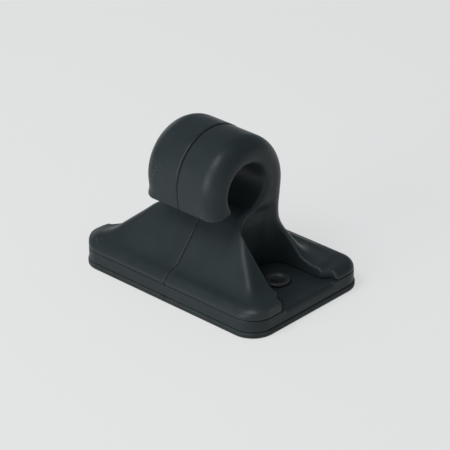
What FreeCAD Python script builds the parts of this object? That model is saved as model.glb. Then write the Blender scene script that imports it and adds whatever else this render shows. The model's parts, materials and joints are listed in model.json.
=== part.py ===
"""Cleat horn: an open hook for rope on a two-hole base, in moulded nylon.

Frame: +Z up, +X along the hook's bore and the base's long side, -Y towards the hook's mouth.
The origin is the middle of the base's underside. Lengths are millimetres, angles are degrees.

The horn is two mouldings that meet on the plane x = 0. Dowels line them up, and screws from
below hold each of them to one base plate, which lies on a thin gasket. A flanged bush lines
each of the two mounting holes.
"""
import FreeCAD, Part
import math
import os

# Base: gasket, plate and the shoulder above the plate
BASE_LENGTH = 90.0
BASE_WIDTH = 60.0
CORNER_RADIUS = 9.0
GASKET_THICKNESS = 2.2
GASKET_LIP = 0.4
PLATE_TOP = 7.0
PLATE_END_ROUNDING = 1.5
JOINT_CHAMFER = 0.3
SHOULDER_TOP = 10.5
SHOULDER_ROUNDING = 3.2

# Hook, seen along X: two outer arcs, a flat lip in front and a round bore
HOOK_HALF_LENGTH = 18.5
HOOK_END_ROUNDING = 7.0
HOOK_CENTRE_Y = -3.4
HOOK_CENTRE_Z = 42.55
FRONT_RADIUS = 18.7
BACK_RADIUS = 20.8
LIP_ANGLE = 186.0
LIP_TIP_Z = 34.1
BORE_CENTRE_Y = -4.2
BORE_CENTRE_Z = 42.3
BORE_RADIUS = 9.5
BORE_MOUTH_ROUNDING = 1.2
MOUTH_CORNER_ANGLE = 223.0
SEAM_STEP = 0.3

# Pedestal, seen along X: front slope, straight back and the hollow at its foot
SLOPE_ANGLE = 50.0
SLOPE_MEETS_BORE_ANGLE = 263.0
NECK_BACK_ANGLE = -7.5
BACK_HOLLOW_RADIUS = 9.5
HOLLOW_FOOT_Z = 10.3
ROOT_DEPTH = 1.0

# Flared ends, seen along Y: steep, then a knee, then flatter, then a hollow foot
FLARE_TOP_Z = 36.4
FLARE_TOP_ANGLE = 61.0
FLARE_KNEE_Z = 23.8
FLARE_KNEE_RADIUS = 20.0
FLARE_ANGLE = 46.7
FLARE_HOLLOW_RADIUS = 12.0
FLARE_LEAN = 0.23
FLARE_LEAN_FROM_Y = -14.0
RIDGE_ROUNDING = 3.0

# Screw recess at each end: upright walls under an arch
RECESS_END_X = 16.9
RECESS_HALF_WIDTH = 11.5
RECESS_CORNER = 7.0
RECESS_MOUTH_HALF_WIDTH = 14.0
RECESS_MOUTH_X = (39.6, 42.2)
ARCH_SPRING_Z = 22.2
ARCH_HAUNCH = (10.6, 25.3)
ARCH_SHOULDER = (8.6, 28.7)
ARCH_TOP_Z = 31.2

# Mounting holes and their flanged bushes
HOLE_SPACING = 57.0
BUSH_BORE_RADIUS = 2.6
BUSH_SLEEVE_RADIUS = 3.6
BUSH_FLANGE_RADIUS = 5.0
BUSH_FLANGE_THICKNESS = 1.3
BUSH_EDGE = 0.4
BUSH_FOOT_Z = 0.2

# Dowels across the seam and screws from below
DOWEL_HALF_LENGTH = 9.0
PEDESTAL_DOWEL_RADIUS = 2.5
PEDESTAL_DOWEL_Y = 3.0
PEDESTAL_DOWEL_Z = 20.0
CROWN_DOWEL_RADIUS = 1.5
CROWN_DOWEL_DISTANCE = 14.6
SCREW_X = 10.0
SCREW_FRONT_Y = -13.0
SCREW_BACK_Y = 12.0
SCREW_SHANK_RADIUS = 2.0
SCREW_HEAD_RADIUS = 3.9
SCREW_HEAD_THICKNESS = 2.4
SCREW_TIP_Z = 17.0
SCREW_POINT = 1.5

BEYOND = 100.0


def vector(x, y, z):
    return FreeCAD.Vector(x, y, z)


def around(centre, radius, degrees):
    """Point in the YZ plane at an angle from +Y towards +Z."""
    angle = math.radians(degrees)
    return centre + vector(0, radius * math.cos(angle), radius * math.sin(angle))


def arc(centre, radius, start, end):
    """Edge in the YZ plane."""
    middle = (start + end) / 2
    points = [around(centre, radius, degrees) for degrees in (start, middle, end)]
    return Part.Arc(*points).toShape()


def line(start, end):
    return Part.LineSegment(start, end).toShape()


def prism(edges, half_length):
    """Solid of a closed YZ outline, from -half_length to +half_length along X."""
    face = Part.Face(Part.Wire(edges))
    face.translate(vector(-half_length, 0, 0))
    return face.extrude(vector(2 * half_length, 0, 0))


def cylinder_x(radius, half_length, y, z):
    return Part.makeCylinder(radius, 2 * half_length, vector(-half_length, y, z), vector(1, 0, 0))


def cylinder_z(radius, bottom, top, x, y):
    return Part.makeCylinder(radius, top - bottom, vector(x, y, bottom))


def rounded_slab(length, width, corner, bottom, top):
    """Flat slab with round corners in plan."""
    slab = Part.makeBox(length, width, top - bottom, vector(-length / 2, -width / 2, bottom))
    corners = [edge for edge in slab.Edges if is_upright(edge)]
    return slab.makeFillet(corner, corners)


def is_upright(edge):
    direction = edge.Vertexes[-1].Point - edge.Vertexes[0].Point
    return abs(direction.z) > abs(direction.x) + abs(direction.y)


def edges_at_height(shape, z):
    return [edge for edge in shape.Edges if abs(edge.BoundBox.ZMin - z) < 1e-6
            and abs(edge.BoundBox.ZMax - z) < 1e-6]


def hook_centre():
    return vector(0, HOOK_CENTRE_Y, HOOK_CENTRE_Z)


def back_centre():
    """Centre of the rear outer arc, which meets the front one at the hook's top."""
    return hook_centre() + vector(0, 0, FRONT_RADIUS - BACK_RADIUS)


def bore_centre():
    return vector(0, BORE_CENTRE_Y, BORE_CENTRE_Z)


def neck_outward():
    """Direction square to the straight back of the neck."""
    return around(vector(0, 0, 0), 1, NECK_BACK_ANGLE)


def neck_top():
    """Where the rear outer arc runs into the straight back."""
    return around(back_centre(), BACK_RADIUS, NECK_BACK_ANGLE)


def neck_point_at(z):
    """Point of the straight back at a height."""
    outward = neck_outward()
    drop = neck_top().z - z
    return neck_top() + vector(0, outward.z, -outward.y) * (drop / outward.y)


def neck_foot():
    """Where the straight back runs into the hollow that ends just inside the shoulder."""
    return neck_point_at(HOLLOW_FOOT_Z + BACK_HOLLOW_RADIUS * (1 - neck_outward().z))


def hook_hull(lift):
    """The hook's outer form as a solid, ends rounded, before the bore and the mouth."""
    bottom_z = neck_foot().z
    lip_top = around(hook_centre(), FRONT_RADIUS, LIP_ANGLE)
    lip_lean = math.tan(math.radians(LIP_ANGLE - 180))
    front_foot = vector(0, lip_top.y + (lip_top.z - bottom_z) * lip_lean, bottom_z)
    outline = [
        line(front_foot, lip_top),
        arc(hook_centre(), FRONT_RADIUS, LIP_ANGLE, 90),
        arc(back_centre(), BACK_RADIUS, 90, NECK_BACK_ANGLE),
        line(neck_top(), neck_foot()),
        line(neck_foot(), front_foot),
    ]
    hull = prism(outline, HOOK_HALF_LENGTH)
    ends = [edge for edge in hull.Edges if is_end_edge(edge, bottom_z)]
    hull = hull.makeFillet(HOOK_END_ROUNDING, ends)
    hull.translate(vector(0, 0, lift))
    return hull


def is_end_edge(edge, bottom_z):
    box = edge.BoundBox
    on_end = abs(abs(box.XMin) - HOOK_HALF_LENGTH) < 1e-6 and box.XLength < 1e-6
    return on_end and box.ZMax > bottom_z + 1e-6


def slope_direction():
    angle = math.radians(SLOPE_ANGLE)
    return vector(0, math.cos(angle), math.sin(angle))


def slope_top():
    """Where the front slope runs into the wall of the bore."""
    return around(bore_centre(), BORE_RADIUS, SLOPE_MEETS_BORE_ANGLE)


def slope_point_at(z):
    top = slope_top()
    return top + slope_direction() * ((z - top.z) / slope_direction().z)


def pedestal():
    """The body between the shoulder and the hook: slopes seen along X, flares seen along Y."""
    base_z = SHOULDER_TOP - ROOT_DEPTH
    hollow_centre = neck_foot() + neck_outward() * BACK_HOLLOW_RADIUS
    back_foot = around(hollow_centre, BACK_HOLLOW_RADIUS, 270)
    front_foot = slope_point_at(SHOULDER_TOP)
    corners = [back_foot, vector(0, back_foot.y, base_z), vector(0, front_foot.y, base_z), front_foot,
               slope_top(), vector(0, BORE_CENTRE_Y, FLARE_TOP_Z), neck_point_at(FLARE_TOP_Z), neck_foot()]
    outline = [line(a, b) for a, b in zip(corners, corners[1:])]
    outline.append(arc(hollow_centre, BACK_HOLLOW_RADIUS, 180 + NECK_BACK_ANGLE, 270))
    body = prism(outline, BASE_LENGTH / 2)
    for flare in flares():
        body = body.common(flare)
    return body.makeFillet(RIDGE_ROUNDING, ridges(body)).common(shoulder_flat())


def ridges(body):
    """The long edges where the flared ends meet the front slope and the back."""
    boxes = [(edge, edge.BoundBox) for edge in body.Edges]
    return [edge for edge, box in boxes if min(box.XLength, box.ZLength) > RIDGE_ROUNDING]


def flare_profile():
    """The right flare seen along Y, as edges, from the top down to its foot."""
    steep, turn = math.radians(FLARE_TOP_ANGLE), math.radians(FLARE_ANGLE)
    top = vector(HOOK_HALF_LENGTH, 0, FLARE_TOP_Z)
    knee = top + flat_step(steep, (FLARE_TOP_Z - FLARE_KNEE_Z) / math.sin(steep))
    reach = FLARE_KNEE_RADIUS * math.tan((steep - turn) / 2)
    knee_start = knee - flat_step(steep, reach)
    knee_centre = knee_start + vector(math.sin(steep), 0, math.cos(steep)) * FLARE_KNEE_RADIUS
    foot_x = (knee.x + (FLARE_KNEE_Z - HOLLOW_FOOT_Z) / math.tan(turn)
              + FLARE_HOLLOW_RADIUS * math.tan(turn / 2))
    foot_centre = vector(foot_x, 0, HOLLOW_FOOT_Z + FLARE_HOLLOW_RADIUS)
    bend = hollow_points(knee_centre, FLARE_KNEE_RADIUS, steep, turn)
    foot = hollow_points(foot_centre, FLARE_HOLLOW_RADIUS, turn, 0)
    return [line(top, bend[0]), Part.Arc(*bend).toShape(), line(bend[2], foot[0]),
            Part.Arc(*foot).toShape()], top, foot[2]


def flat_step(angle, distance):
    """Step outwards and down at an angle below level."""
    return vector(math.cos(angle), 0, -math.sin(angle)) * distance


def hollow_points(centre, radius, start, end):
    """Start, middle and end of a hollow arc whose tangents drop at these angles."""
    return [centre - vector(math.sin(angle), 0, math.cos(angle)) * radius
            for angle in (start, (start + end) / 2, end)]


def flares():
    """What lies inside the right and the left flare. Both lean inwards towards the back."""
    edges, top, foot = flare_profile()
    base_z = SHOULDER_TOP - 2 * ROOT_DEPTH
    corners = [foot, vector(foot.x, 0, base_z), vector(-BEYOND, 0, base_z), vector(-BEYOND, 0, top.z), top]
    edges = edges + [line(a, b) for a, b in zip(corners, corners[1:])]
    face = Part.Face(Part.Wire(Part.sortEdges(edges)[0]))
    start_y = -BASE_WIDTH / 2
    face.translate(vector(FLARE_LEAN * (FLARE_LEAN_FROM_Y - start_y), start_y, 0))
    right = face.extrude(vector(-FLARE_LEAN * BASE_WIDTH, BASE_WIDTH, 0))
    return [right, right.mirror(vector(0, 0, 0), vector(1, 0, 0))]


def shoulder_flat():
    """The room above the flat middle of the shoulder's top."""
    inset = GASKET_LIP + SHOULDER_ROUNDING
    return rounded_slab(BASE_LENGTH - 2 * inset, BASE_WIDTH - 2 * inset, CORNER_RADIUS - inset, 0, BEYOND)


def shoulder_slab():
    """The rounded rim above the base plate."""
    inset = GASKET_LIP
    slab = rounded_slab(BASE_LENGTH - 2 * inset, BASE_WIDTH - 2 * inset, CORNER_RADIUS - inset,
                        PLATE_TOP, SHOULDER_TOP)
    slab = slab.makeFillet(SHOULDER_ROUNDING, edges_at_height(slab, SHOULDER_TOP))
    return slab.makeChamfer(JOINT_CHAMFER / 2, edges_at_height(slab, PLATE_TOP))


def mouth_prism():
    """The space in front of the slope and under the lip's tip, up to the bore."""
    inner_corner = around(bore_centre(), BORE_RADIUS, MOUTH_CORNER_ANGLE)
    lip_corner = vector(0, HOOK_CENTRE_Y - FRONT_RADIUS, LIP_TIP_Z)
    low = slope_point_at(SHOULDER_TOP)
    far_low = vector(0, -BEYOND, low.z)
    far_high = vector(0, -BEYOND, LIP_TIP_Z)
    corners = [far_high, lip_corner, inner_corner, bore_centre(), slope_top(), low, far_low]
    edges = [line(a, b) for a, b in zip(corners, corners[1:] + corners[:1])]
    return prism(edges, BASE_LENGTH)


def recess(side):
    """Screw recess at one end: rounded corners inside, wider at the rim, an arch above."""
    room = Part.makeBox(BASE_LENGTH, 2 * RECESS_HALF_WIDTH, ARCH_TOP_Z + RECESS_CORNER,
                        vector(RECESS_END_X, -RECESS_HALF_WIDTH, PLATE_TOP))
    inner = [edge for edge in room.Edges if is_upright(edge) and edge.BoundBox.XMax < RECESS_END_X + 1]
    room = room.makeFillet(RECESS_CORNER, inner).common(arch_prism())
    both = room.fuse(rim_cut()).removeSplitter()
    return both if side > 0 else both.mirror(vector(0, 0, 0), vector(1, 0, 0))


def arch_prism():
    """The recess seen along X: upright walls and three arcs."""
    floor_z = PLATE_TOP
    right = [vector(0, RECESS_HALF_WIDTH, ARCH_SPRING_Z), vector(0, *ARCH_HAUNCH), vector(0, *ARCH_SHOULDER)]
    left = [vector(0, -point.y, point.z) for point in right]
    low = [vector(0, y, floor_z) for y in (RECESS_HALF_WIDTH, -RECESS_HALF_WIDTH)]
    crown = Part.Arc(right[2], vector(0, 0, ARCH_TOP_Z), left[2]).toShape()
    return prism([line(low[0], right[0]), Part.Arc(*right).toShape(), crown, Part.Arc(*left).toShape(),
                  line(left[0], low[1]), line(low[1], low[0])], 2 * BASE_LENGTH)


def rim_cut():
    """The wider part where the recess opens through the rim of the base."""
    near, far = RECESS_MOUTH_X
    plan = [(near, RECESS_HALF_WIDTH), (far, RECESS_MOUTH_HALF_WIDTH),
            (BASE_LENGTH, RECESS_MOUTH_HALF_WIDTH)]
    plan += [(x, -y) for x, y in reversed(plan)]
    points = [vector(x, y, PLATE_TOP) for x, y in plan]
    face = Part.Face(Part.makePolygon(points + points[:1]))
    return face.extrude(vector(0, 0, ARCH_TOP_Z))


def bore_cutter():
    """The bore with a small rounding at each mouth."""
    blank = Part.makeBox(2 * HOOK_HALF_LENGTH, BASE_WIDTH, BASE_WIDTH,
                         vector(-HOOK_HALF_LENGTH, BORE_CENTRE_Y - BASE_WIDTH / 2,
                                BORE_CENTRE_Z - BASE_WIDTH / 2))
    bore = cylinder_x(BORE_RADIUS, HOOK_HALF_LENGTH, BORE_CENTRE_Y, BORE_CENTRE_Z)
    block = blank.cut(bore)
    rims = [edge for edge in block.Edges if isinstance(edge.Curve, Part.Circle) and edge.isClosed()]
    through = cylinder_x(BORE_RADIUS, BASE_LENGTH, BORE_CENTRE_Y, BORE_CENTRE_Z)
    return blank.cut(block.makeFillet(BORE_MOUTH_ROUNDING, rims)).fuse(through)


def horn(lift):
    """The whole horn above the base plate, its hook raised a little, before it is halved."""
    hook = hook_hull(lift).cut(bore_cutter())
    body = hook.cut(mouth_prism()).fuse([pedestal().cut(bore_cutter()), shoulder_slab()])
    return body.cut([recess(1), recess(-1)]).removeSplitter()


def half(side, lift):
    """One moulding: the horn on one side of the seam, with its dowel and screw holes."""
    low_x = 0 if side > 0 else -BEYOND
    room = Part.makeBox(BEYOND, 2 * BEYOND, BEYOND, vector(low_x, -BEYOND, 0))
    cutters = [dowel(*place) for place in dowel_places().values()]
    cutters += [screw(*place) for place in screw_places().values()]
    return horn(lift).common(room).cut(cutters)


def dowel_places():
    """Name to radius, y and z of each dowel across the seam."""
    return {
        "pedestal_dowel": (PEDESTAL_DOWEL_RADIUS, PEDESTAL_DOWEL_Y, PEDESTAL_DOWEL_Z),
        "crown_dowel": (CROWN_DOWEL_RADIUS, HOOK_CENTRE_Y, HOOK_CENTRE_Z + CROWN_DOWEL_DISTANCE),
    }


def dowel(radius, y, z):
    return cylinder_x(radius, DOWEL_HALF_LENGTH, y, z)


def screw_places():
    """Name to x and y of each screw that holds a moulding to the base plate."""
    rows = {"front": SCREW_FRONT_Y, "back": SCREW_BACK_Y}
    sides = {"left": -SCREW_X, "right": SCREW_X}
    return {f"body_screw_{row}_{side}": (x, y) for row, y in rows.items() for side, x in sides.items()}


def screw(x, y):
    """Self-tapping screw from below: flat head, plain shank, short point."""
    head = cylinder_z(SCREW_HEAD_RADIUS, GASKET_THICKNESS, GASKET_THICKNESS + SCREW_HEAD_THICKNESS, x, y)
    shank = cylinder_z(SCREW_SHANK_RADIUS, GASKET_THICKNESS, SCREW_TIP_Z - SCREW_POINT, x, y)
    point = Part.makeCone(SCREW_SHANK_RADIUS, SCREW_SHANK_RADIUS / 3, SCREW_POINT,
                          vector(x, y, SCREW_TIP_Z - SCREW_POINT))
    return head.fuse([shank, point]).removeSplitter()


def bush(side):
    """Flanged bush that lines a mounting hole through the plate and the gasket."""
    x = side * HOLE_SPACING / 2
    flange = cylinder_z(BUSH_FLANGE_RADIUS, PLATE_TOP, PLATE_TOP + BUSH_FLANGE_THICKNESS, x, 0)
    top = edges_at_height(flange, PLATE_TOP + BUSH_FLANGE_THICKNESS)
    sleeve = cylinder_z(BUSH_SLEEVE_RADIUS, BUSH_FOOT_Z, PLATE_TOP, x, 0)
    hole = cylinder_z(BUSH_BORE_RADIUS, 0, BASE_WIDTH, x, 0)
    return flange.makeFillet(BUSH_EDGE, top).fuse(sleeve).cut(hole).removeSplitter()


def mounting_holes(bottom, top):
    """Cutters for the bushes' sleeves."""
    return [cylinder_z(BUSH_SLEEVE_RADIUS, bottom, top, side * HOLE_SPACING / 2, 0) for side in (-1, 1)]


def gasket():
    slab = rounded_slab(BASE_LENGTH, BASE_WIDTH, CORNER_RADIUS, 0, GASKET_THICKNESS)
    return slab.cut(mounting_holes(0, GASKET_THICKNESS))


def base_plate():
    """Plate that ties the two mouldings together and is the floor of both recesses."""
    inset = GASKET_LIP
    slab = rounded_slab(BASE_LENGTH - 2 * inset, BASE_WIDTH - 2 * inset, CORNER_RADIUS - inset,
                        GASKET_THICKNESS, PLATE_TOP)
    slab = slab.makeChamfer(JOINT_CHAMFER / 2, edges_at_height(slab, PLATE_TOP))
    cutters = [end_rounding(side) for side in (-1, 1)]
    cutters += mounting_holes(GASKET_THICKNESS, PLATE_TOP)
    cutters += [screw(*place) for place in screw_places().values()]
    return slab.cut(cutters)


def end_rounding(side):
    """What is taken off the plate's edge where a recess opens over it."""
    edge_x = BASE_LENGTH / 2 - GASKET_LIP
    radius = PLATE_END_ROUNDING
    corner = Part.makeBox(radius, 2 * RECESS_MOUTH_HALF_WIDTH, radius,
                          vector(edge_x - radius, -RECESS_MOUTH_HALF_WIDTH, PLATE_TOP - radius))
    rod = Part.makeCylinder(radius, 2 * RECESS_MOUTH_HALF_WIDTH,
                            vector(edge_x - radius, -RECESS_MOUTH_HALF_WIDTH, PLATE_TOP - radius),
                            vector(0, 1, 0))
    waste = corner.cut(rod)
    return waste if side > 0 else waste.mirror(vector(0, 0, 0), vector(1, 0, 0))


def nodes():
    parts = {
        "foot_gasket": gasket(),
        "base_plate": base_plate(),
        "horn_half_left": half(-1, SEAM_STEP),
        "horn_half_right": half(1, 0),
        "screw_bush_left": bush(-1),
        "screw_bush_right": bush(1),
    }
    parts.update({name: dowel(*place) for name, place in dowel_places().items()})
    parts.update({name: screw(*place) for name, place in screw_places().items()})
    return parts


os.makedirs("parts", exist_ok=True)
for name, shape in nodes().items():
    print(name, shape.isValid(), len(shape.Solids), round(shape.Volume, 1))
    shape.exportStep(f"parts/{name}.step")
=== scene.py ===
"""Cleat horn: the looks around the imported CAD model.

The two mouldings are built as implicit surfaces, so that their forms run into each other as in
a mould: each is a signed distance in millimetres, sampled on a grid, meshed and drawn onto the
exact surface. The plate and gasket are made the same way and the bushes are turned. The dowels and
screws keep their CAD meshes.
"""
import bpy
import json
import math
import numpy as np
from mathutils import Matrix, Vector


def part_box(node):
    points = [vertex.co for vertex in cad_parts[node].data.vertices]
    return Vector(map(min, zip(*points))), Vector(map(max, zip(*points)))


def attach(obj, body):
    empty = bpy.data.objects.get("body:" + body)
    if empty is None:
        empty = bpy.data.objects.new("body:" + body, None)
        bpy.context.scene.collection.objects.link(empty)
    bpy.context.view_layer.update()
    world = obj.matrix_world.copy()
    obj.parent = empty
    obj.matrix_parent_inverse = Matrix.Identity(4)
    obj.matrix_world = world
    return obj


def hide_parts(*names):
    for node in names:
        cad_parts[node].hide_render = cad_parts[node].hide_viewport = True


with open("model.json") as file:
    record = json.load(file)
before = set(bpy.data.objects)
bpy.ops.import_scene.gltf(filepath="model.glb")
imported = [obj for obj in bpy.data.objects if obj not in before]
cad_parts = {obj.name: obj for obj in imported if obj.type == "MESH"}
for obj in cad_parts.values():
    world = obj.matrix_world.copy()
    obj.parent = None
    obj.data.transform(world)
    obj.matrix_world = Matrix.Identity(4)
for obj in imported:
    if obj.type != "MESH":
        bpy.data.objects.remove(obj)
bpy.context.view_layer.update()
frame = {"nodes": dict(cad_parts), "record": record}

MM = 0.001
BODY = "root"
HALVES = {"horn_half_left": -1, "horn_half_right": 1}


def corners_mm(node):
    """Lowest and highest corner of a CAD node, in millimetres."""
    return [np.array(corner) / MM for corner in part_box(node)]


def mount(name):
    return next(m for m in frame["record"]["mounts"] if m["name"] == name)


# ---------------------------------------------------------------- sizes, from the frame
FOOT_LOW, FOOT_HIGH = corners_mm("foot_gasket")
PLATE_LOW, PLATE_HIGH = corners_mm("base_plate")
RIGHT_LOW, RIGHT_HIGH = corners_mm("horn_half_right")
LEFT_LOW, LEFT_HIGH = corners_mm("horn_half_left")
BASE_LENGTH, BASE_WIDTH = (FOOT_HIGH - FOOT_LOW)[:2]
PLATE_LENGTH, PLATE_WIDTH = (PLATE_HIGH - PLATE_LOW)[:2]
PLATE_TOP = PLATE_HIGH[2]
SEAM_STEP = LEFT_HIGH[2] - RIGHT_HIGH[2]
HOLE_X = mount("screw_holes")["dims"]["spacing_x_mm"] / 2

# ---------------------------------------------------------------- the moulding's own forms
BORE_Y = -4.2
BORE_Z = 42.3
BORE_RADIUS = 9.5
HOOK_Y = -3.4
FRONT_RADIUS = 18.7
HOOK_Z = RIGHT_HIGH[2] - FRONT_RADIUS
BACK_RADIUS = 20.8
HOOK_HALF_LENGTH = 18.5
HOOK_END_ROUNDING = 7.0
LIP_END_ROUNDING = 5.0
LIP_ROUNDING_FROM_Z = 38.5
LIP_ANGLE = 186.0
LIP_TIP_Z = 34.1
MOUTH_CORNER_ANGLE = 223.0
CORNER_RADIUS = 8.6
NECK_BACK_ANGLE = -7.5
BACK_HOLLOW_RADIUS = 9.5
RIDGE_ROUNDING = 3.4
RIDGE_ROUNDING_FROM_Z = 25.5
SLOPE_ANGLE = 50.0
SLOPE_MEETS_BORE_ANGLE = 263.0
FLARE_TOP_Z = 36.4
FLARE_TOP_ANGLE = 61.0
FLARE_KNEE_Z = 23.8
FLARE_KNEE_RADIUS = 20.0
FLARE_ANGLE = 46.7
FLARE_HOLLOW_RADIUS = 12.0
FLARE_LEAN = 0.23
FLARE_LEAN_FROM_Y = -14.0
SHOULDER_TOP = 10.5
SHOULDER_ROUNDING = 3.6
RECESS_END_X = 17.2
RECESS_HALF_WIDTH = 11.0
RECESS_CORNER = 7.0
RECESS_DRAFT = 0.05
DRAFT_TOP_Z = 26.0
ARCH_HALF_WIDTH = 12.2
ARCH_FOOT_Z = 10.0
ARCH_TOP_Z = 31.2
ARCH_POWER = 3.2
RECESS_MOUTH_X = (39.6, 42.2)
RECESS_MOUTH_HALF_WIDTH = 14.0

FLARE_BLEND = 3.0
RIDGE_BLEND = 3.0
SHOULDER_BLEND = 3.5
SLOPE_FOOT_BLEND = 4.8
SLOPE_FOOT_FROM_Y = -14.0
SLOPE_FOOT_TO_X = 46.0
BORE_EDGE_BLEND = 2.6
MOUTH_EDGE_BLEND = 0.9
RECESS_EDGE_BLEND = 0.8
ARCH_BLEND = 1.5
ARCH_EDGE_BLEND = 2.8
JOINT_EDGE_BLEND = 0.5
SEAM_LOW_BLEND = 0.01
SEAM_FADES_Z = (20.0, 42.0)

PLATE_END_BLEND = 2.6
GASKET_EDGE_BLEND = 0.35
PLATE_JOINT_BLEND = 0.16
SLEEVE_RADIUS = 3.6
BUSH_RIM_ROUNDING = 0.5
BUSH_SINK_DEPTH = 0.6
HOLE_RADIUS = mount("screw_holes")["dims"]["hole_r_mm"]

GRID_STEP = 0.5
ARC_STEPS = 24
LATHE_STEPS = 96

# ---------------------------------------------------------------- colours and light
NYLON = (0.0185, 0.0255, 0.0278)
GASKET = (0.0135, 0.0185, 0.0200)
ACETAL = (0.0240, 0.0270, 0.0275)
# Painted highlight on convex edges: the colour they are lightened towards, and (two lines on) the curvature
# over which it comes in.
EDGE_HIGHLIGHT_COLOUR = (0.070, 0.080, 0.083)
# Colour of the pale scratches, and of the painted highlight at the lip tip.
SCUFF_AND_GLINT_COLOUR = (0.20, 0.22, 0.22)
EDGE_HIGHLIGHT_FROM = 0.45
EDGE_HIGHLIGHT_FULL = 1.6
SCUFFS_AND_LIP_GLINT = (
    ((-13.0, -20.5, 46.0), 6.0, (0.2, 0.5, 1.4)),
    ((-38.0, -29.0, 8.0), 6.0, (0.0, 0.2, 1.5)),
    # At the lip tip: a painted highlight, drawn as scratches.
    ((12.0, -22.0, 37.0), 4.0, (0.7, 0.1, 0.4)),
    ((30.0, 28.0, 8.0), 6.0, (0.0, 0.3, 1.3)),
)
FLOOR_ALBEDO = 0.25
FLOOR_GLOW = 0.58
KEY_PLACE = (-0.16, -1.22, 0.34)
KEY_SIZE = 0.8
KEY_POWER = 8.0
KEY_COLOUR = (0.95, 1.0, 0.98)
TOP_PLACE = (-0.08, -0.60, 1.00)
TOP_SIZE = 0.5
TOP_POWER = 5.2
SIDE_PLACE = (-1.15, 0.35, 0.28)
SIDE_SIZE = 0.7
SIDE_POWER = 1.3
LIGHTS_AIM = (0, 0, 0.03)
WORLD_COLOUR = (0.80, 0.94, 1.0)
WORLD_STRENGTH = 0.30
FLOOR_HALF_SIZE = 4.0
FLOOR_DROP = 0.0001


# ---------------------------------------------------------------- distances
def smooth_min(a, b, blend):
    """Union of two distances whose meeting corner is filled over about one blend length."""
    h = np.maximum(blend - np.abs(a - b), 0) / blend
    return np.minimum(a, b) - h * h * blend / 4


def smooth_max(a, b, blend):
    """Intersection of two distances whose meeting edge is rounded."""
    return -smooth_min(-a, -b, blend)


def turn_points(centre, radius, start, end):
    """Points along an arc, angles in degrees from the first axis to the second."""
    angles = np.radians(np.linspace(start, end, ARC_STEPS))
    return np.stack([centre[0] + radius * np.cos(angles), centre[1] + radius * np.sin(angles)], 1)


def outline_distance(outline, u, v):
    """Signed distance from a closed outline, on the grid of two axes, negative inside."""
    points = np.stack(np.meshgrid(u, v, indexing="ij"), -1).reshape(-1, 2)
    starts, ends = outline, np.roll(outline, -1, axis=0)
    nearest = np.full(len(points), np.inf)
    inside = np.zeros(len(points), bool)
    for start, end in zip(starts, ends):
        edge = end - start
        length_squared = edge @ edge
        if length_squared < 1e-12:
            continue
        along = np.clip((points - start) @ edge / length_squared, 0, 1)
        gap = points - start - along[:, None] * edge
        nearest = np.minimum(nearest, np.einsum("ij,ij->i", gap, gap))
        crosses = (points[:, 1] < start[1]) != (points[:, 1] < end[1])
        if crosses.any():
            reach = start[0] + (points[:, 1] - start[1]) * edge[0] / np.where(edge[1] == 0, 1, edge[1])
            inside ^= crosses & (points[:, 0] < reach)
    distance = np.sqrt(nearest) * np.where(inside, -1, 1)
    return distance.reshape(len(u), len(v))


def rounded_ends(section, length_distance, rounding):
    """Distance of a section carried along an axis, with its end edges rounded."""
    a, b = section + rounding, length_distance + rounding
    outside = np.sqrt(np.maximum(a, 0) ** 2 + np.maximum(b, 0) ** 2)
    return np.minimum(np.maximum(a, b), 0) + outside - rounding


# ---------------------------------------------------------------- outlines
def back_line_foot():
    """Foot of the straight part of the back, where the hollow begins, and its outward direction."""
    angle = math.radians(NECK_BACK_ANGLE)
    outward = np.array([math.cos(angle), math.sin(angle)])
    start = np.array([HOOK_Y, HOOK_Z + FRONT_RADIUS - BACK_RADIUS]) + BACK_RADIUS * outward
    drop = start[1] - SHOULDER_TOP - BACK_HOLLOW_RADIUS * (1 - outward[1])
    return start + np.array([outward[1], -outward[0]]) * drop / outward[0], outward


def section_outline(lift):
    """Hook and pedestal seen along X, before the mouth is cut away in front of the slope."""
    rear = (HOOK_Y, HOOK_Z + FRONT_RADIUS - BACK_RADIUS)
    front = turn_points((HOOK_Y, HOOK_Z), FRONT_RADIUS, LIP_ANGLE, 90)
    low_z = LIP_TIP_Z - 4
    lip_foot = (front[0][0] + (front[0][1] - low_z) * math.tan(math.radians(LIP_ANGLE - 180)), low_z)
    back = turn_points(rear, BACK_RADIUS, 90, NECK_BACK_ANGLE)
    foot, outward = back_line_foot()
    hollow = turn_points(foot + BACK_HOLLOW_RADIUS * outward, BACK_HOLLOW_RADIUS,
                         180 + NECK_BACK_ANGLE, 268)
    base_z = SHOULDER_TOP - 4
    upper = np.concatenate([[lip_foot], front, back[1:]]) + np.array([0, lift])
    front_y = -BASE_WIDTH
    return np.concatenate([upper, hollow, [(hollow[-1][0], base_z), (front_y, base_z), (front_y, low_z)]])


def slope_points(*heights):
    """Points of the front slope, which runs up into the wall of the bore."""
    angle = math.radians(SLOPE_MEETS_BORE_ANGLE)
    top = np.array([BORE_Y + BORE_RADIUS * math.cos(angle), BORE_Z + BORE_RADIUS * math.sin(angle)])
    lean = 1 / math.tan(math.radians(SLOPE_ANGLE))
    return [np.array([top[0] + (z - top[1]) * lean, z]) for z in heights] or [top]


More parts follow.
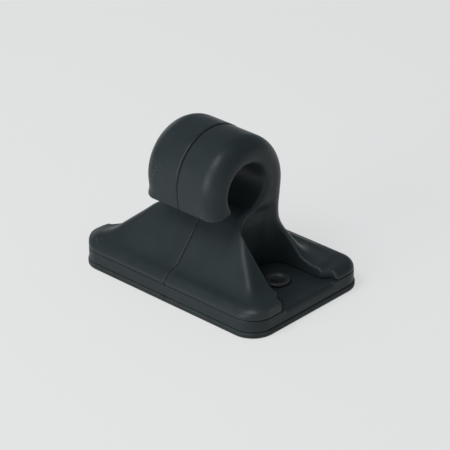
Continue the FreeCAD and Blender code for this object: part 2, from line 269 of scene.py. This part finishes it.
def flare_outline():
    """The flared end seen along Y, from the middle of the horn outwards."""
    steep, turn = math.radians(FLARE_TOP_ANGLE), math.radians(FLARE_ANGLE)
    knee = np.array([HOOK_HALF_LENGTH + (FLARE_TOP_Z - FLARE_KNEE_Z) / math.tan(steep), FLARE_KNEE_Z])
    reach = FLARE_KNEE_RADIUS * math.tan((steep - turn) / 2)
    knee_start = knee + reach * np.array([-math.cos(steep), math.sin(steep)])
    knee_centre = knee_start + FLARE_KNEE_RADIUS * np.array([math.sin(steep), math.cos(steep)])
    bend = turn_points(knee_centre, FLARE_KNEE_RADIUS, 270 - FLARE_TOP_ANGLE, 270 - FLARE_ANGLE)
    foot_x = (knee[0] + (FLARE_KNEE_Z - SHOULDER_TOP) / math.tan(turn)
              + FLARE_HOLLOW_RADIUS * math.tan(turn / 2))
    hollow = turn_points((foot_x, SHOULDER_TOP + FLARE_HOLLOW_RADIUS), FLARE_HOLLOW_RADIUS,
                         270 - FLARE_ANGLE, 270)
    base_z = SHOULDER_TOP - 4
    inner_x = -BASE_LENGTH
    top_x = HOOK_HALF_LENGTH - 12
    top_z = FLARE_TOP_Z + 12 * math.tan(steep)
    return np.concatenate([[(inner_x, top_z), (top_x, top_z)], bend, hollow,
                           [(foot_x, base_z), (inner_x, base_z)]])


def mouth_outline():
    """The gap in front of the slope and under the lip's tip, up to the bore."""
    angle = math.radians(MOUTH_CORNER_ANGLE)
    inner = (BORE_Y + BORE_RADIUS * math.cos(angle), BORE_Z + BORE_RADIUS * math.sin(angle))
    lip = (HOOK_Y - FRONT_RADIUS, LIP_TIP_Z)
    low, high = slope_points(SHOULDER_TOP - 6, slope_points()[0][1])
    far_y = -2 * BASE_WIDTH
    return np.array([(far_y, LIP_TIP_Z), lip, inner, (BORE_Y, BORE_Z), high, low, (far_y, low[1])])


def recess_plan():
    """The right-hand screw recess seen from above, at the height where its arch springs."""
    far_x = BASE_LENGTH
    corner_x, corner_y = RECESS_END_X + RECESS_CORNER, RECESS_HALF_WIDTH - RECESS_CORNER
    back = turn_points((corner_x, corner_y), RECESS_CORNER, 180, 90)
    rim = [(RECESS_MOUTH_X[0], RECESS_HALF_WIDTH), (RECESS_MOUTH_X[1], RECESS_MOUTH_HALF_WIDTH),
           (far_x, RECESS_MOUTH_HALF_WIDTH)]
    half = np.concatenate([back, rim])
    return np.concatenate([half, half[::-1] * np.array([1, -1])])


def recess_distance(x, y, z):
    """The recess: upright walls under an arch, which closes just below the bore."""
    gx, gy, gz = x[:, None, None], y[None, :, None], z[None, None, :]
    plan = outline_distance(recess_plan(), x, y)[:, :, None]
    plan = plan - RECESS_DRAFT * np.maximum(DRAFT_TOP_Z - gz, 0)
    across = np.abs(gy) / ARCH_HALF_WIDTH
    up = np.maximum(gz - ARCH_FOOT_Z, 0) / (ARCH_TOP_Z - ARCH_FOOT_Z)
    arch = ((across ** ARCH_POWER + up ** ARCH_POWER) ** (1 / ARCH_POWER) - 1) * ARCH_HALF_WIDTH
    arch = np.where(gx > RECESS_MOUTH_X[0] - 3, np.minimum(arch, plan - 2), arch)
    return smooth_max(plan, arch, ARCH_BLEND)


def plan_distance(x, y, length, width, corner):
    """Signed distance from a rectangle with round corners."""
    a = np.abs(x) - (length / 2 - corner)
    b = np.abs(y) - (width / 2 - corner)
    outside = np.sqrt(np.maximum(a, 0) ** 2 + np.maximum(b, 0) ** 2)
    return np.minimum(np.maximum(a, b), 0) + outside - corner


# ---------------------------------------------------------------- the horn as one distance
def end_rounding(gy, gz):
    """Rounding of the end edges: large on the hook, tighter at the lip and on the ridges."""
    def ease(value, low, high):
        part = np.clip((value - low) / (high - low), 0, 1)
        return part * part * (3 - 2 * part)
    in_front = ease(-gy, -HOOK_Y, -HOOK_Y + FRONT_RADIUS / 2)
    lip = in_front * ease(-gz, -LIP_ROUNDING_FROM_Z, -LIP_TIP_Z)
    ridge = ease(-gz, -RIDGE_ROUNDING_FROM_Z, -SHOULDER_TOP - 6)
    rounding = HOOK_END_ROUNDING + lip * (LIP_END_ROUNDING - HOOK_END_ROUNDING)
    return rounding + ridge * (RIDGE_ROUNDING - rounding)


def horn_distance(x, y, z, side):
    """Distance grid of one half of the horn. x, y and z are the grid's three axes."""
    lift = SEAM_STEP if side < 0 else 0
    along = np.abs(x)
    gx, gy, gz = along[:, None, None], y[None, :, None], z[None, None, :]
    section = outline_distance(section_outline(lift), y, z)[None, :, :]
    leaned = gx + FLARE_LEAN * (gy - FLARE_LEAN_FROM_Y)
    flare = flare_distance(leaned, gz)
    hook_width = gx - HOOK_HALF_LENGTH
    on_lip = (gz > LIP_TIP_Z - 1) & (gy < BORE_Y - BORE_RADIUS / 2)
    width = np.where(on_lip, hook_width, smooth_min(hook_width, flare, FLARE_BLEND))
    body = rounded_ends(section, width, end_rounding(gy, gz))
    mouth = outline_distance(mouth_outline(), y, z)[None, :, :]
    edge = MOUTH_EDGE_BLEND + (RIDGE_BLEND - MOUTH_EDGE_BLEND) * np.clip((LIP_TIP_Z - 2 - gz) / 5, 0, 1)
    body = smooth_max(body, -mouth, edge)
    plan = plan_distance(x[:, None], y[None, :], PLATE_LENGTH, PLATE_WIDTH, CORNER_RADIUS)[:, :, None]
    shoulder = rounded_ends(plan, gz - SHOULDER_TOP, SHOULDER_ROUNDING)
    at_front = np.clip((SLOPE_FOOT_FROM_Y - gy) / 6, 0, 1) * np.clip((SLOPE_FOOT_TO_X - gx) / 6, 0, 1)
    body = smooth_min(body, shoulder, SHOULDER_BLEND + (SLOPE_FOOT_BLEND - SHOULDER_BLEND) * at_front)
    body = np.maximum(body, plan)
    bore = np.sqrt((gy - BORE_Y) ** 2 + (gz - BORE_Z) ** 2) - BORE_RADIUS
    body = smooth_max(body, -bore + 0 * gx, BORE_EDGE_BLEND)
    soft = RECESS_EDGE_BLEND + (ARCH_EDGE_BLEND - RECESS_EDGE_BLEND) * np.clip((gz - DRAFT_TOP_Z) / 4, 0, 1)
    body = smooth_max(body, -recess_distance(along, y, z), soft)
    body = smooth_max(body, PLATE_TOP - gz, PLATE_JOINT_BLEND)
    return smooth_max(body, -side * x[:, None, None], seam_blend(gz))


def seam_blend(gz):
    """Softness of the seam's edges: plain round the hook, almost none low on the slope."""
    low, high = SEAM_FADES_Z
    return SEAM_LOW_BLEND + (JOINT_EDGE_BLEND - SEAM_LOW_BLEND) * np.clip((gz - low) / (high - low), 0, 1)


def flare_distance(leaned, gz):
    """Distance from the flared end, looked up on a fine grid seen along Y."""
    u = np.arange(leaned.min() - 1, leaned.max() + 1.5, GRID_STEP)
    v = gz.ravel()
    table = outline_distance(flare_outline(), u, v)
    place = np.clip((leaned - u[0]) / GRID_STEP, 0, len(u) - 1.001)
    cell = place.astype(int)
    part = place - cell
    column = np.arange(len(v))[None, None, :]
    cell, part = np.broadcast_arrays(cell, part)
    cell = np.broadcast_to(cell, cell.shape[:2] + (len(v),))
    part = np.broadcast_to(part, cell.shape)
    column = np.broadcast_to(column, cell.shape)
    return table[cell, column] * (1 - part) + table[cell + 1, column] * part


# ---------------------------------------------------------------- meshing
def grid_axis(low, high):
    margin = 2 * GRID_STEP
    count = int(math.ceil((high - low + 2 * margin) / GRID_STEP)) + 1
    return low - margin + GRID_STEP * np.arange(count)


def surface_net(values, axes):
    """Vertices and quads of the zero surface of a grid, one vertex for each cell it crosses."""
    inside = values < 0
    shape = np.array(values.shape) - 1
    total = np.zeros(tuple(shape) + (3,))
    hits = np.zeros(tuple(shape))
    offsets = [(i, j, k) for i in (0, 1) for j in (0, 1) for k in (0, 1)]

    def cut(grid, o):
        return grid[o[0]:o[0] + shape[0], o[1]:o[1] + shape[1], o[2]:o[2] + shape[2]]

    for first in offsets:
        for axis in range(3):
            if first[axis]:
                continue
            second = tuple(c + (i == axis) for i, c in enumerate(first))
            a, b = cut(values, first), cut(values, second)
            crossed = cut(inside, first) != cut(inside, second)
            part = np.where(crossed, a / np.where(crossed, a - b, 1), 0)
            for i in range(3):
                total[..., i] += crossed * (first[i] + (part if i == axis else 0))
            hits += crossed
    cells = np.argwhere(hits > 0)
    index = np.full(tuple(shape), -1)
    index[tuple(cells.T)] = np.arange(len(cells))
    place = cells + total[tuple(cells.T)] / hits[tuple(cells.T)][:, None]
    vertices = np.stack([axes[i][0] + GRID_STEP * place[:, i] for i in range(3)], 1)
    return vertices, net_quads(inside, index, shape)


def net_quads(inside, index, shape):
    """One quad round each grid edge whose ends lie on different sides of the surface."""
    quads = []
    for axis in range(3):
        u, v = (axis + 1) % 3, (axis + 2) % 3
        low = [slice(1, n) for n in shape]
        low[axis] = slice(0, shape[axis])
        high = list(low)
        high[axis] = slice(1, shape[axis] + 1)
        starts, ends = inside[tuple(low)], inside[tuple(high)]
        for flip in (False, True):
            found = np.argwhere((starts & ~ends) if not flip else (~starts & ends))
            found += [0 if i == axis else 1 for i in range(3)]
            ring = [(0, 0), (-1, 0), (-1, -1), (0, -1)]
            ids = []
            for du, dv in ring:
                cell = found.copy()
                cell[:, u] += du
                cell[:, v] += dv
                ids.append(index[tuple(cell.T)])
            if flip:
                ids = ids[::-1]
            quads.append(np.stack(ids, 1))
    return np.concatenate(quads)


def sample(values, axes, points):
    """Values between grid points, by trilinear mixing."""
    place = np.stack([(points[:, i] - axes[i][0]) / GRID_STEP for i in range(3)], 1)
    cell = np.clip(np.floor(place).astype(int), 0, np.array(values.shape) - 2)
    part = place - cell
    result = np.zeros(len(points))
    for i in (0, 1):
        for j in (0, 1):
            for k in (0, 1):
                weight = np.ones(len(points))
                for axis, side in enumerate((i, j, k)):
                    weight = weight * (part[:, axis] if side else 1 - part[:, axis])
                result += weight * values[cell[:, 0] + i, cell[:, 1] + j, cell[:, 2] + k]
    return result


def settle(vertices, values, axes, rounds=3):
    """Moves vertices along the gradient onto the surface."""
    gradients = np.gradient(values, GRID_STEP)
    for _ in range(rounds):
        slope = np.stack([sample(g, axes, vertices) for g in gradients], 1)
        steep = np.maximum((slope ** 2).sum(1, keepdims=True), 0.05)
        vertices = vertices - sample(values, axes, vertices)[:, None] * slope / steep
    return vertices


def new_object(name, vertices, faces):
    mesh = bpy.data.meshes.new(name)
    mesh.from_pydata((np.asarray(vertices) * MM).tolist(), [], [list(map(int, f)) for f in faces])
    mesh.validate()
    mesh.polygons.foreach_set("use_smooth", [True] * len(mesh.polygons))
    mesh.update()
    piece = bpy.data.objects.new(name, mesh)
    bpy.context.scene.collection.objects.link(piece)
    return piece


def surface_piece(name, distance, low, high):
    """Meshes a distance inside a box, and marks its convex edges for a painted highlight."""
    axes = [grid_axis(low[i], high[i]) for i in range(3)]
    values = distance(*axes)
    vertices, quads = surface_net(values, axes)
    vertices = settle(vertices, values, axes)
    piece = new_object(name, vertices, quads)
    mark_edge_highlight(piece, vertices, values, axes)
    return piece


def mark_edge_highlight(piece, vertices, values, axes):
    """Stores how sharply the surface turns outwards at each vertex, from 0 to 1, away from joints: the mask
    of the painted edge highlight.
    """
    curve = sum(np.gradient(np.gradient(values, GRID_STEP, axis=i), GRID_STEP, axis=i) for i in range(3))
    amount = np.clip((sample(curve, axes, vertices) - EDGE_HIGHLIGHT_FROM) / (EDGE_HIGHLIGHT_FULL - EDGE_HIGHLIGHT_FROM), 0, 1)
    seam_gap, joint_gap = np.abs(vertices[:, 0]), np.abs(vertices[:, 2] - PLATE_TOP)
    amount = amount * np.clip((seam_gap - 0.6) / 0.8, 0, 1)
    amount = amount * np.clip((joint_gap - 0.4) / 0.5, 0, 1)
    # Mask of the painted highlight that lightens convex edges.
    colours = np.ones((len(vertices), 4), np.float32)
    colours[:, :3] = amount[:, None]
    layer = piece.data.color_attributes.new("edge_highlight_mask", "FLOAT_COLOR", "POINT")
    layer.data.foreach_set("color", colours.ravel())


def moulding(node, side):
    low, high = (LEFT_LOW, LEFT_HIGH) if side < 0 else (RIGHT_LOW, RIGHT_HIGH)
    return surface_piece(node + "_moulded", lambda x, y, z: horn_distance(x, y, z, side), low, high)


def holes_distance(x, y):
    """Distance from the two sleeve holes, seen from above."""
    return np.sqrt((np.abs(x[:, None]) - HOLE_X) ** 2 + y[None, :] ** 2)[:, :, None] - SLEEVE_RADIUS


def slab_distance(x, y, z, box, corner, top_edge, bottom_edge):
    """Flat slab with round corners, its own edge softness above and below, and sleeve holes."""
    low, high = box
    gz = z[None, None, :]
    size = high - low
    plan = plan_distance(x[:, None], y[None, :], size[0], size[1], corner)[:, :, None]
    body = smooth_max(smooth_max(plan, gz - high[2], top_edge), low[2] - gz, bottom_edge)
    return smooth_max(body, -holes_distance(x, y), JOINT_EDGE_BLEND)


def plate_distance(x, y, z):
    """The base plate, its top edge rounder where a recess opens over it."""
    in_mouth = np.abs(y[None, :, None]) < RECESS_MOUTH_HALF_WIDTH - 1
    at_end = np.abs(x[:, None, None]) > PLATE_LENGTH / 2 - 4
    top_edge = np.where(in_mouth & at_end, PLATE_END_BLEND, PLATE_JOINT_BLEND)
    return slab_distance(x, y, z, (PLATE_LOW, PLATE_HIGH), CORNER_RADIUS, top_edge, PLATE_JOINT_BLEND)


def gasket_distance(x, y, z):
    corner = CORNER_RADIUS + (BASE_LENGTH - PLATE_LENGTH) / 2
    return slab_distance(x, y, z, (FOOT_LOW, FOOT_HIGH), corner, GASKET_EDGE_BLEND, GASKET_EDGE_BLEND)


def lathe(name, profile, centre):
    """Ring of a closed profile of radius and height, turned about an upright axis."""
    turns = np.linspace(0, 2 * math.pi, LATHE_STEPS, endpoint=False)
    vertices = [(centre[0] + r * math.cos(t), centre[1] + r * math.sin(t), z)
                for t in turns for r, z in profile]
    count = len(profile)
    faces = [(i * count + j, (i + 1) % LATHE_STEPS * count + j,
              (i + 1) % LATHE_STEPS * count + (j + 1) % count, i * count + (j + 1) % count)
             for i in range(LATHE_STEPS) for j in range(count)]
    return new_object(name, vertices, faces)


def rounded_corner(r, z, radius, start, end, steps=6):
    """Profile points round a corner whose arc has its centre at r and z."""
    return [(r + radius * math.cos(math.radians(a)), z + radius * math.sin(math.radians(a)))
            for a in np.linspace(start, end, steps)]


def bush_piece(node):
    """Flanged bush: domed rim, countersunk mouth and a plain sleeve."""
    low, high = corners_mm(node)
    centre = ((low[0] + high[0]) / 2, 0)
    rim, top, under = (high[0] - low[0]) / 2, high[2], PLATE_TOP
    profile = [(SLEEVE_RADIUS, low[2]), (SLEEVE_RADIUS, under), (rim, under)]
    profile += rounded_corner(rim - BUSH_RIM_ROUNDING, top - BUSH_RIM_ROUNDING, BUSH_RIM_ROUNDING, 0, 90)
    profile += [(HOLE_RADIUS + 1.0, top), (HOLE_RADIUS + 0.8, top - 0.05),
                (HOLE_RADIUS, top - BUSH_SINK_DEPTH), (HOLE_RADIUS, low[2])]
    return lathe(node + "_turned", profile, centre)


# ---------------------------------------------------------------- materials
class Nodes:
    """Builds one node material around a Principled shader."""

    def __init__(self, name):
        self.mat = bpy.data.materials.new(name)
        self.mat.use_nodes = True
        self.tree = self.mat.node_tree
        self.shader = self.tree.nodes["Principled BSDF"]
        self.place = self.tree.nodes.new("ShaderNodeTexCoord").outputs["Object"]

    def link(self, source, socket):
        self.tree.links.new(source, socket)

    def stretched(self, scale, turn=(0, 0, 0)):
        node = self.tree.nodes.new("ShaderNodeMapping")
        node.inputs["Scale"].default_value = scale
        node.inputs["Rotation"].default_value = turn
        self.link(self.place, node.inputs["Vector"])
        return node.outputs["Vector"]

    def noise(self, size_mm, detail=3.0, vector=None):
        node = self.tree.nodes.new("ShaderNodeTexNoise")
        node.inputs["Scale"].default_value = 1 / (size_mm * MM)
        node.inputs["Detail"].default_value = detail
        self.link(vector or self.place, node.inputs["Vector"])
        return node.outputs["Fac"]

    def spread(self, value, low, high, to_low=0.0, to_high=1.0):
        node = self.tree.nodes.new("ShaderNodeMapRange")
        range_ends = {"From Min": low, "From Max": high, "To Min": to_low, "To Max": to_high}
        for socket, number in range_ends.items():
            node.inputs[socket].default_value = number
        self.link(value, node.inputs["Value"])
        return node.outputs["Result"]

    def times(self, a, b):
        node = self.tree.nodes.new("ShaderNodeMath")
        node.operation = "MULTIPLY"
        self.link(a, node.inputs[0])
        if isinstance(b, float):
            node.inputs[1].default_value = b
        else:
            self.link(b, node.inputs[1])
        return node.outputs[0]

    def mix(self, amount, a, b):
        node = self.tree.nodes.new("ShaderNodeMix")
        node.data_type = "RGBA"
        self.link(amount, node.inputs["Factor"])
        for socket, colour in ((node.inputs[6], a), (node.inputs[7], b)):
            if isinstance(colour, tuple):
                socket.default_value = (*colour, 1)
            else:
                self.link(colour, socket)
        return node.outputs[2]

    def near(self, point_mm, radius_mm):
        """1 at a point of the part, fading to 0 at a radius."""
        shift = self.tree.nodes.new("ShaderNodeVectorMath")
        shift.operation = "DISTANCE"
        shift.inputs[1].default_value = tuple(c * MM for c in point_mm)
        self.link(self.place, shift.inputs[0])
        return self.spread(shift.outputs["Value"], 0.4 * radius_mm * MM, radius_mm * MM, 1.0, 0.0)

    def bump(self, height, depth_mm, strength=1.0):
        node = self.tree.nodes.new("ShaderNodeBump")
        node.inputs["Strength"].default_value = strength
        node.inputs["Distance"].default_value = depth_mm * MM
        self.link(height, node.inputs["Height"])
        self.link(node.outputs["Normal"], self.shader.inputs["Normal"])


def tinted(colour, factor):
    return tuple(c * factor for c in colour)


def moulded(name, colour, roughness, specular, grain_mm=0.5, highlighted_and_scuffed=False):
    """Moulded plastic: faint cloudiness, fine grain, and where asked scuffs and a painted highlight on
    convex edges.
    """
    n = Nodes(name)
    cloud = n.spread(n.noise(14, 4), 0.3, 0.7)
    base = n.mix(cloud, tinted(colour, 0.90), tinted(colour, 1.10))
    speck = n.spread(n.noise(0.35, 2), 0.60, 0.72)
    base = n.mix(n.times(speck, 0.35), base, tinted(colour, 1.9))
    rough = n.spread(n.noise(6, 5), 0.3, 0.7, roughness - 0.06, roughness + 0.06)
    if highlighted_and_scuffed:
        base = paint_edge_highlight_and_scuffs(n, base)
    n.link(base, n.shader.inputs["Base Color"])
    n.link(rough, n.shader.inputs["Roughness"])
    n.shader.inputs["Specular IOR Level"].default_value = specular
    n.bump(n.noise(grain_mm, 3), 0.03, 0.35)
    return n.mat


def paint_edge_highlight_and_scuffs(n, base):
    """Convex edges lightened as a painted highlight, and fine pale scratches in the places where a line or
    a tool has caught.
    """
    edge = n.tree.nodes.new("ShaderNodeAttribute")
    edge.attribute_name = "edge_highlight_mask"
    patchy = n.spread(n.noise(5, 5), 0.35, 0.65, 0.45, 1.0)
    # Painted highlight: convex edges lightened, patchily.
    base = n.mix(n.times(n.times(edge.outputs["Fac"], patchy), 0.55), base, EDGE_HIGHLIGHT_COLOUR)
    # Pale scratch patches; the one at the lip tip is a painted highlight.
    for point, radius, turn in SCUFFS_AND_LIP_GLINT:
        lines = n.noise(0.45, 2, n.stretched((1.0, 0.08, 1.0), turn))
        marks = n.times(n.spread(lines, 0.62, 0.70), n.near(point, radius))
        base = n.mix(n.times(marks, 0.45), base, SCUFF_AND_GLINT_COLOUR)
    return base


def steel(name):
    """Turned stainless steel with fine rings."""
    n = Nodes(name)
    rings = n.noise(0.25, 2, n.stretched((0.1, 0.1, 1.0)))
    n.link(n.mix(rings, (0.42, 0.42, 0.41), (0.56, 0.56, 0.55)), n.shader.inputs["Base Color"])
    n.link(n.spread(rings, 0.3, 0.7, 0.25, 0.40), n.shader.inputs["Roughness"])
    n.shader.inputs["Metallic"].default_value = 1.0
    n.bump(rings, 0.01, 0.3)
    return n.mat


def paper(name):
    """The floor: plain pale card that glows a little, so that shadows stay light."""
    n = Nodes(name)
    n.link(n.mix(n.noise(60, 3), (FLOOR_ALBEDO,) * 3, (FLOOR_ALBEDO * 0.985,) * 3),
           n.shader.inputs["Base Color"])
    n.shader.inputs["Roughness"].default_value = 0.9
    n.shader.inputs["Specular IOR Level"].default_value = 0.1
    n.shader.inputs["Emission Color"].default_value = (1, 1, 1, 1)
    n.shader.inputs["Emission Strength"].default_value = FLOOR_GLOW
    return n.mat


def dress(piece, mat):
    piece.data.materials.clear()
    piece.data.materials.append(mat)


# ---------------------------------------------------------------- camera, floor and light
CAMERA_AZIMUTH = 43.67
CAMERA_ELEVATION = 28.06
CAMERA_ROLL = -0.66
CAMERA_DISTANCE = 888.2
CAMERA_SIDE = 1.73
CAMERA_RISE = 17.62
CAMERA_LENS = 190.8
SENSOR = 36.0


def add_camera():
    azimuth, elevation, roll = map(math.radians, (CAMERA_AZIMUTH, CAMERA_ELEVATION, CAMERA_ROLL))
    back = Vector((math.sin(azimuth) * math.cos(elevation), -math.cos(azimuth) * math.cos(elevation),
                   math.sin(elevation)))
    level = Vector((math.cos(azimuth), math.sin(azimuth), 0))
    upright = back.cross(level)
    right = math.cos(roll) * level + math.sin(roll) * upright
    up = -math.sin(roll) * level + math.cos(roll) * upright
    eye = (CAMERA_DISTANCE * back + CAMERA_SIDE * right + CAMERA_RISE * up) * MM
    data = bpy.data.cameras.new("camera")
    data.lens = CAMERA_LENS
    data.sensor_width = SENSOR
    data.clip_start = 0.01
    camera = bpy.data.objects.new("camera", data)
    bpy.context.scene.collection.objects.link(camera)
    camera.matrix_world = Matrix(((right.x, up.x, back.x, eye.x), (right.y, up.y, back.y, eye.y),
                                  (right.z, up.z, back.z, eye.z), (0, 0, 0, 1)))
    bpy.context.scene.camera = camera


def add_floor():
    size = FLOOR_HALF_SIZE
    mesh = bpy.data.meshes.new("floor")
    mesh.from_pydata([(-size, -size, 0), (size, -size, 0), (size, size, 0), (-size, size, 0)], [],
                     [(0, 1, 2, 3)])
    floor = bpy.data.objects.new("floor", mesh)
    floor.location.z = -FLOOR_DROP
    bpy.context.scene.collection.objects.link(floor)
    dress(floor, paper("floor_paper"))


def add_light(name, place, size, power, colour=(1, 1, 1)):
    """Square soft light that points at the middle of the part."""
    data = bpy.data.lights.new(name, "AREA")
    data.shape = "SQUARE"
    data.size = size
    data.energy = power
    data.color = colour
    lamp = bpy.data.objects.new(name, data)
    bpy.context.scene.collection.objects.link(lamp)
    lamp.location = place
    lamp.rotation_euler = (Vector(LIGHTS_AIM) - Vector(place)).to_track_quat("-Z", "Y").to_euler()


def place_piece(piece, node, mat):
    """Puts a finished piece on the part in place of its CAD node."""
    dress(piece, mat)
    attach(piece, BODY)
    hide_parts(node)


def add_world():
    world = bpy.data.worlds.new("studio")
    world.use_nodes = True
    sky = world.node_tree.nodes["Background"]
    sky.inputs["Color"].default_value = (*WORLD_COLOUR, 1)
    sky.inputs["Strength"].default_value = WORLD_STRENGTH
    bpy.context.scene.world = world


bpy.context.scene.view_settings.view_transform = "Standard"
add_camera()
add_floor()
add_world()
add_light("key", KEY_PLACE, KEY_SIZE, KEY_POWER, KEY_COLOUR)
add_light("top", TOP_PLACE, TOP_SIZE, TOP_POWER)
add_light("side", SIDE_PLACE, SIDE_SIZE, SIDE_POWER)

nylon = moulded("nylon", NYLON, 0.40, 0.22, highlighted_and_scuffed=True)
plate_nylon = moulded("plate_nylon", NYLON, 0.46, 0.18, highlighted_and_scuffed=True)
gasket = moulded("gasket_rubber", GASKET, 0.58, 0.20, 0.7, highlighted_and_scuffed=True)
acetal = moulded("acetal", ACETAL, 0.42, 0.45, 0.3)
metal = steel("stainless_steel")

for node, side in HALVES.items():
    place_piece(moulding(node, side), node, nylon)
place_piece(surface_piece("base_plate_fine", plate_distance, PLATE_LOW, PLATE_HIGH), "base_plate",
            plate_nylon)
place_piece(surface_piece("foot_gasket_fine", gasket_distance, FOOT_LOW, FOOT_HIGH), "foot_gasket",
            gasket)
for node in ("screw_bush_left", "screw_bush_right"):
    place_piece(bush_piece(node), node, acetal)
for name, node in frame["nodes"].items():
    dress(node, metal if name.startswith("body_screw") else acetal)
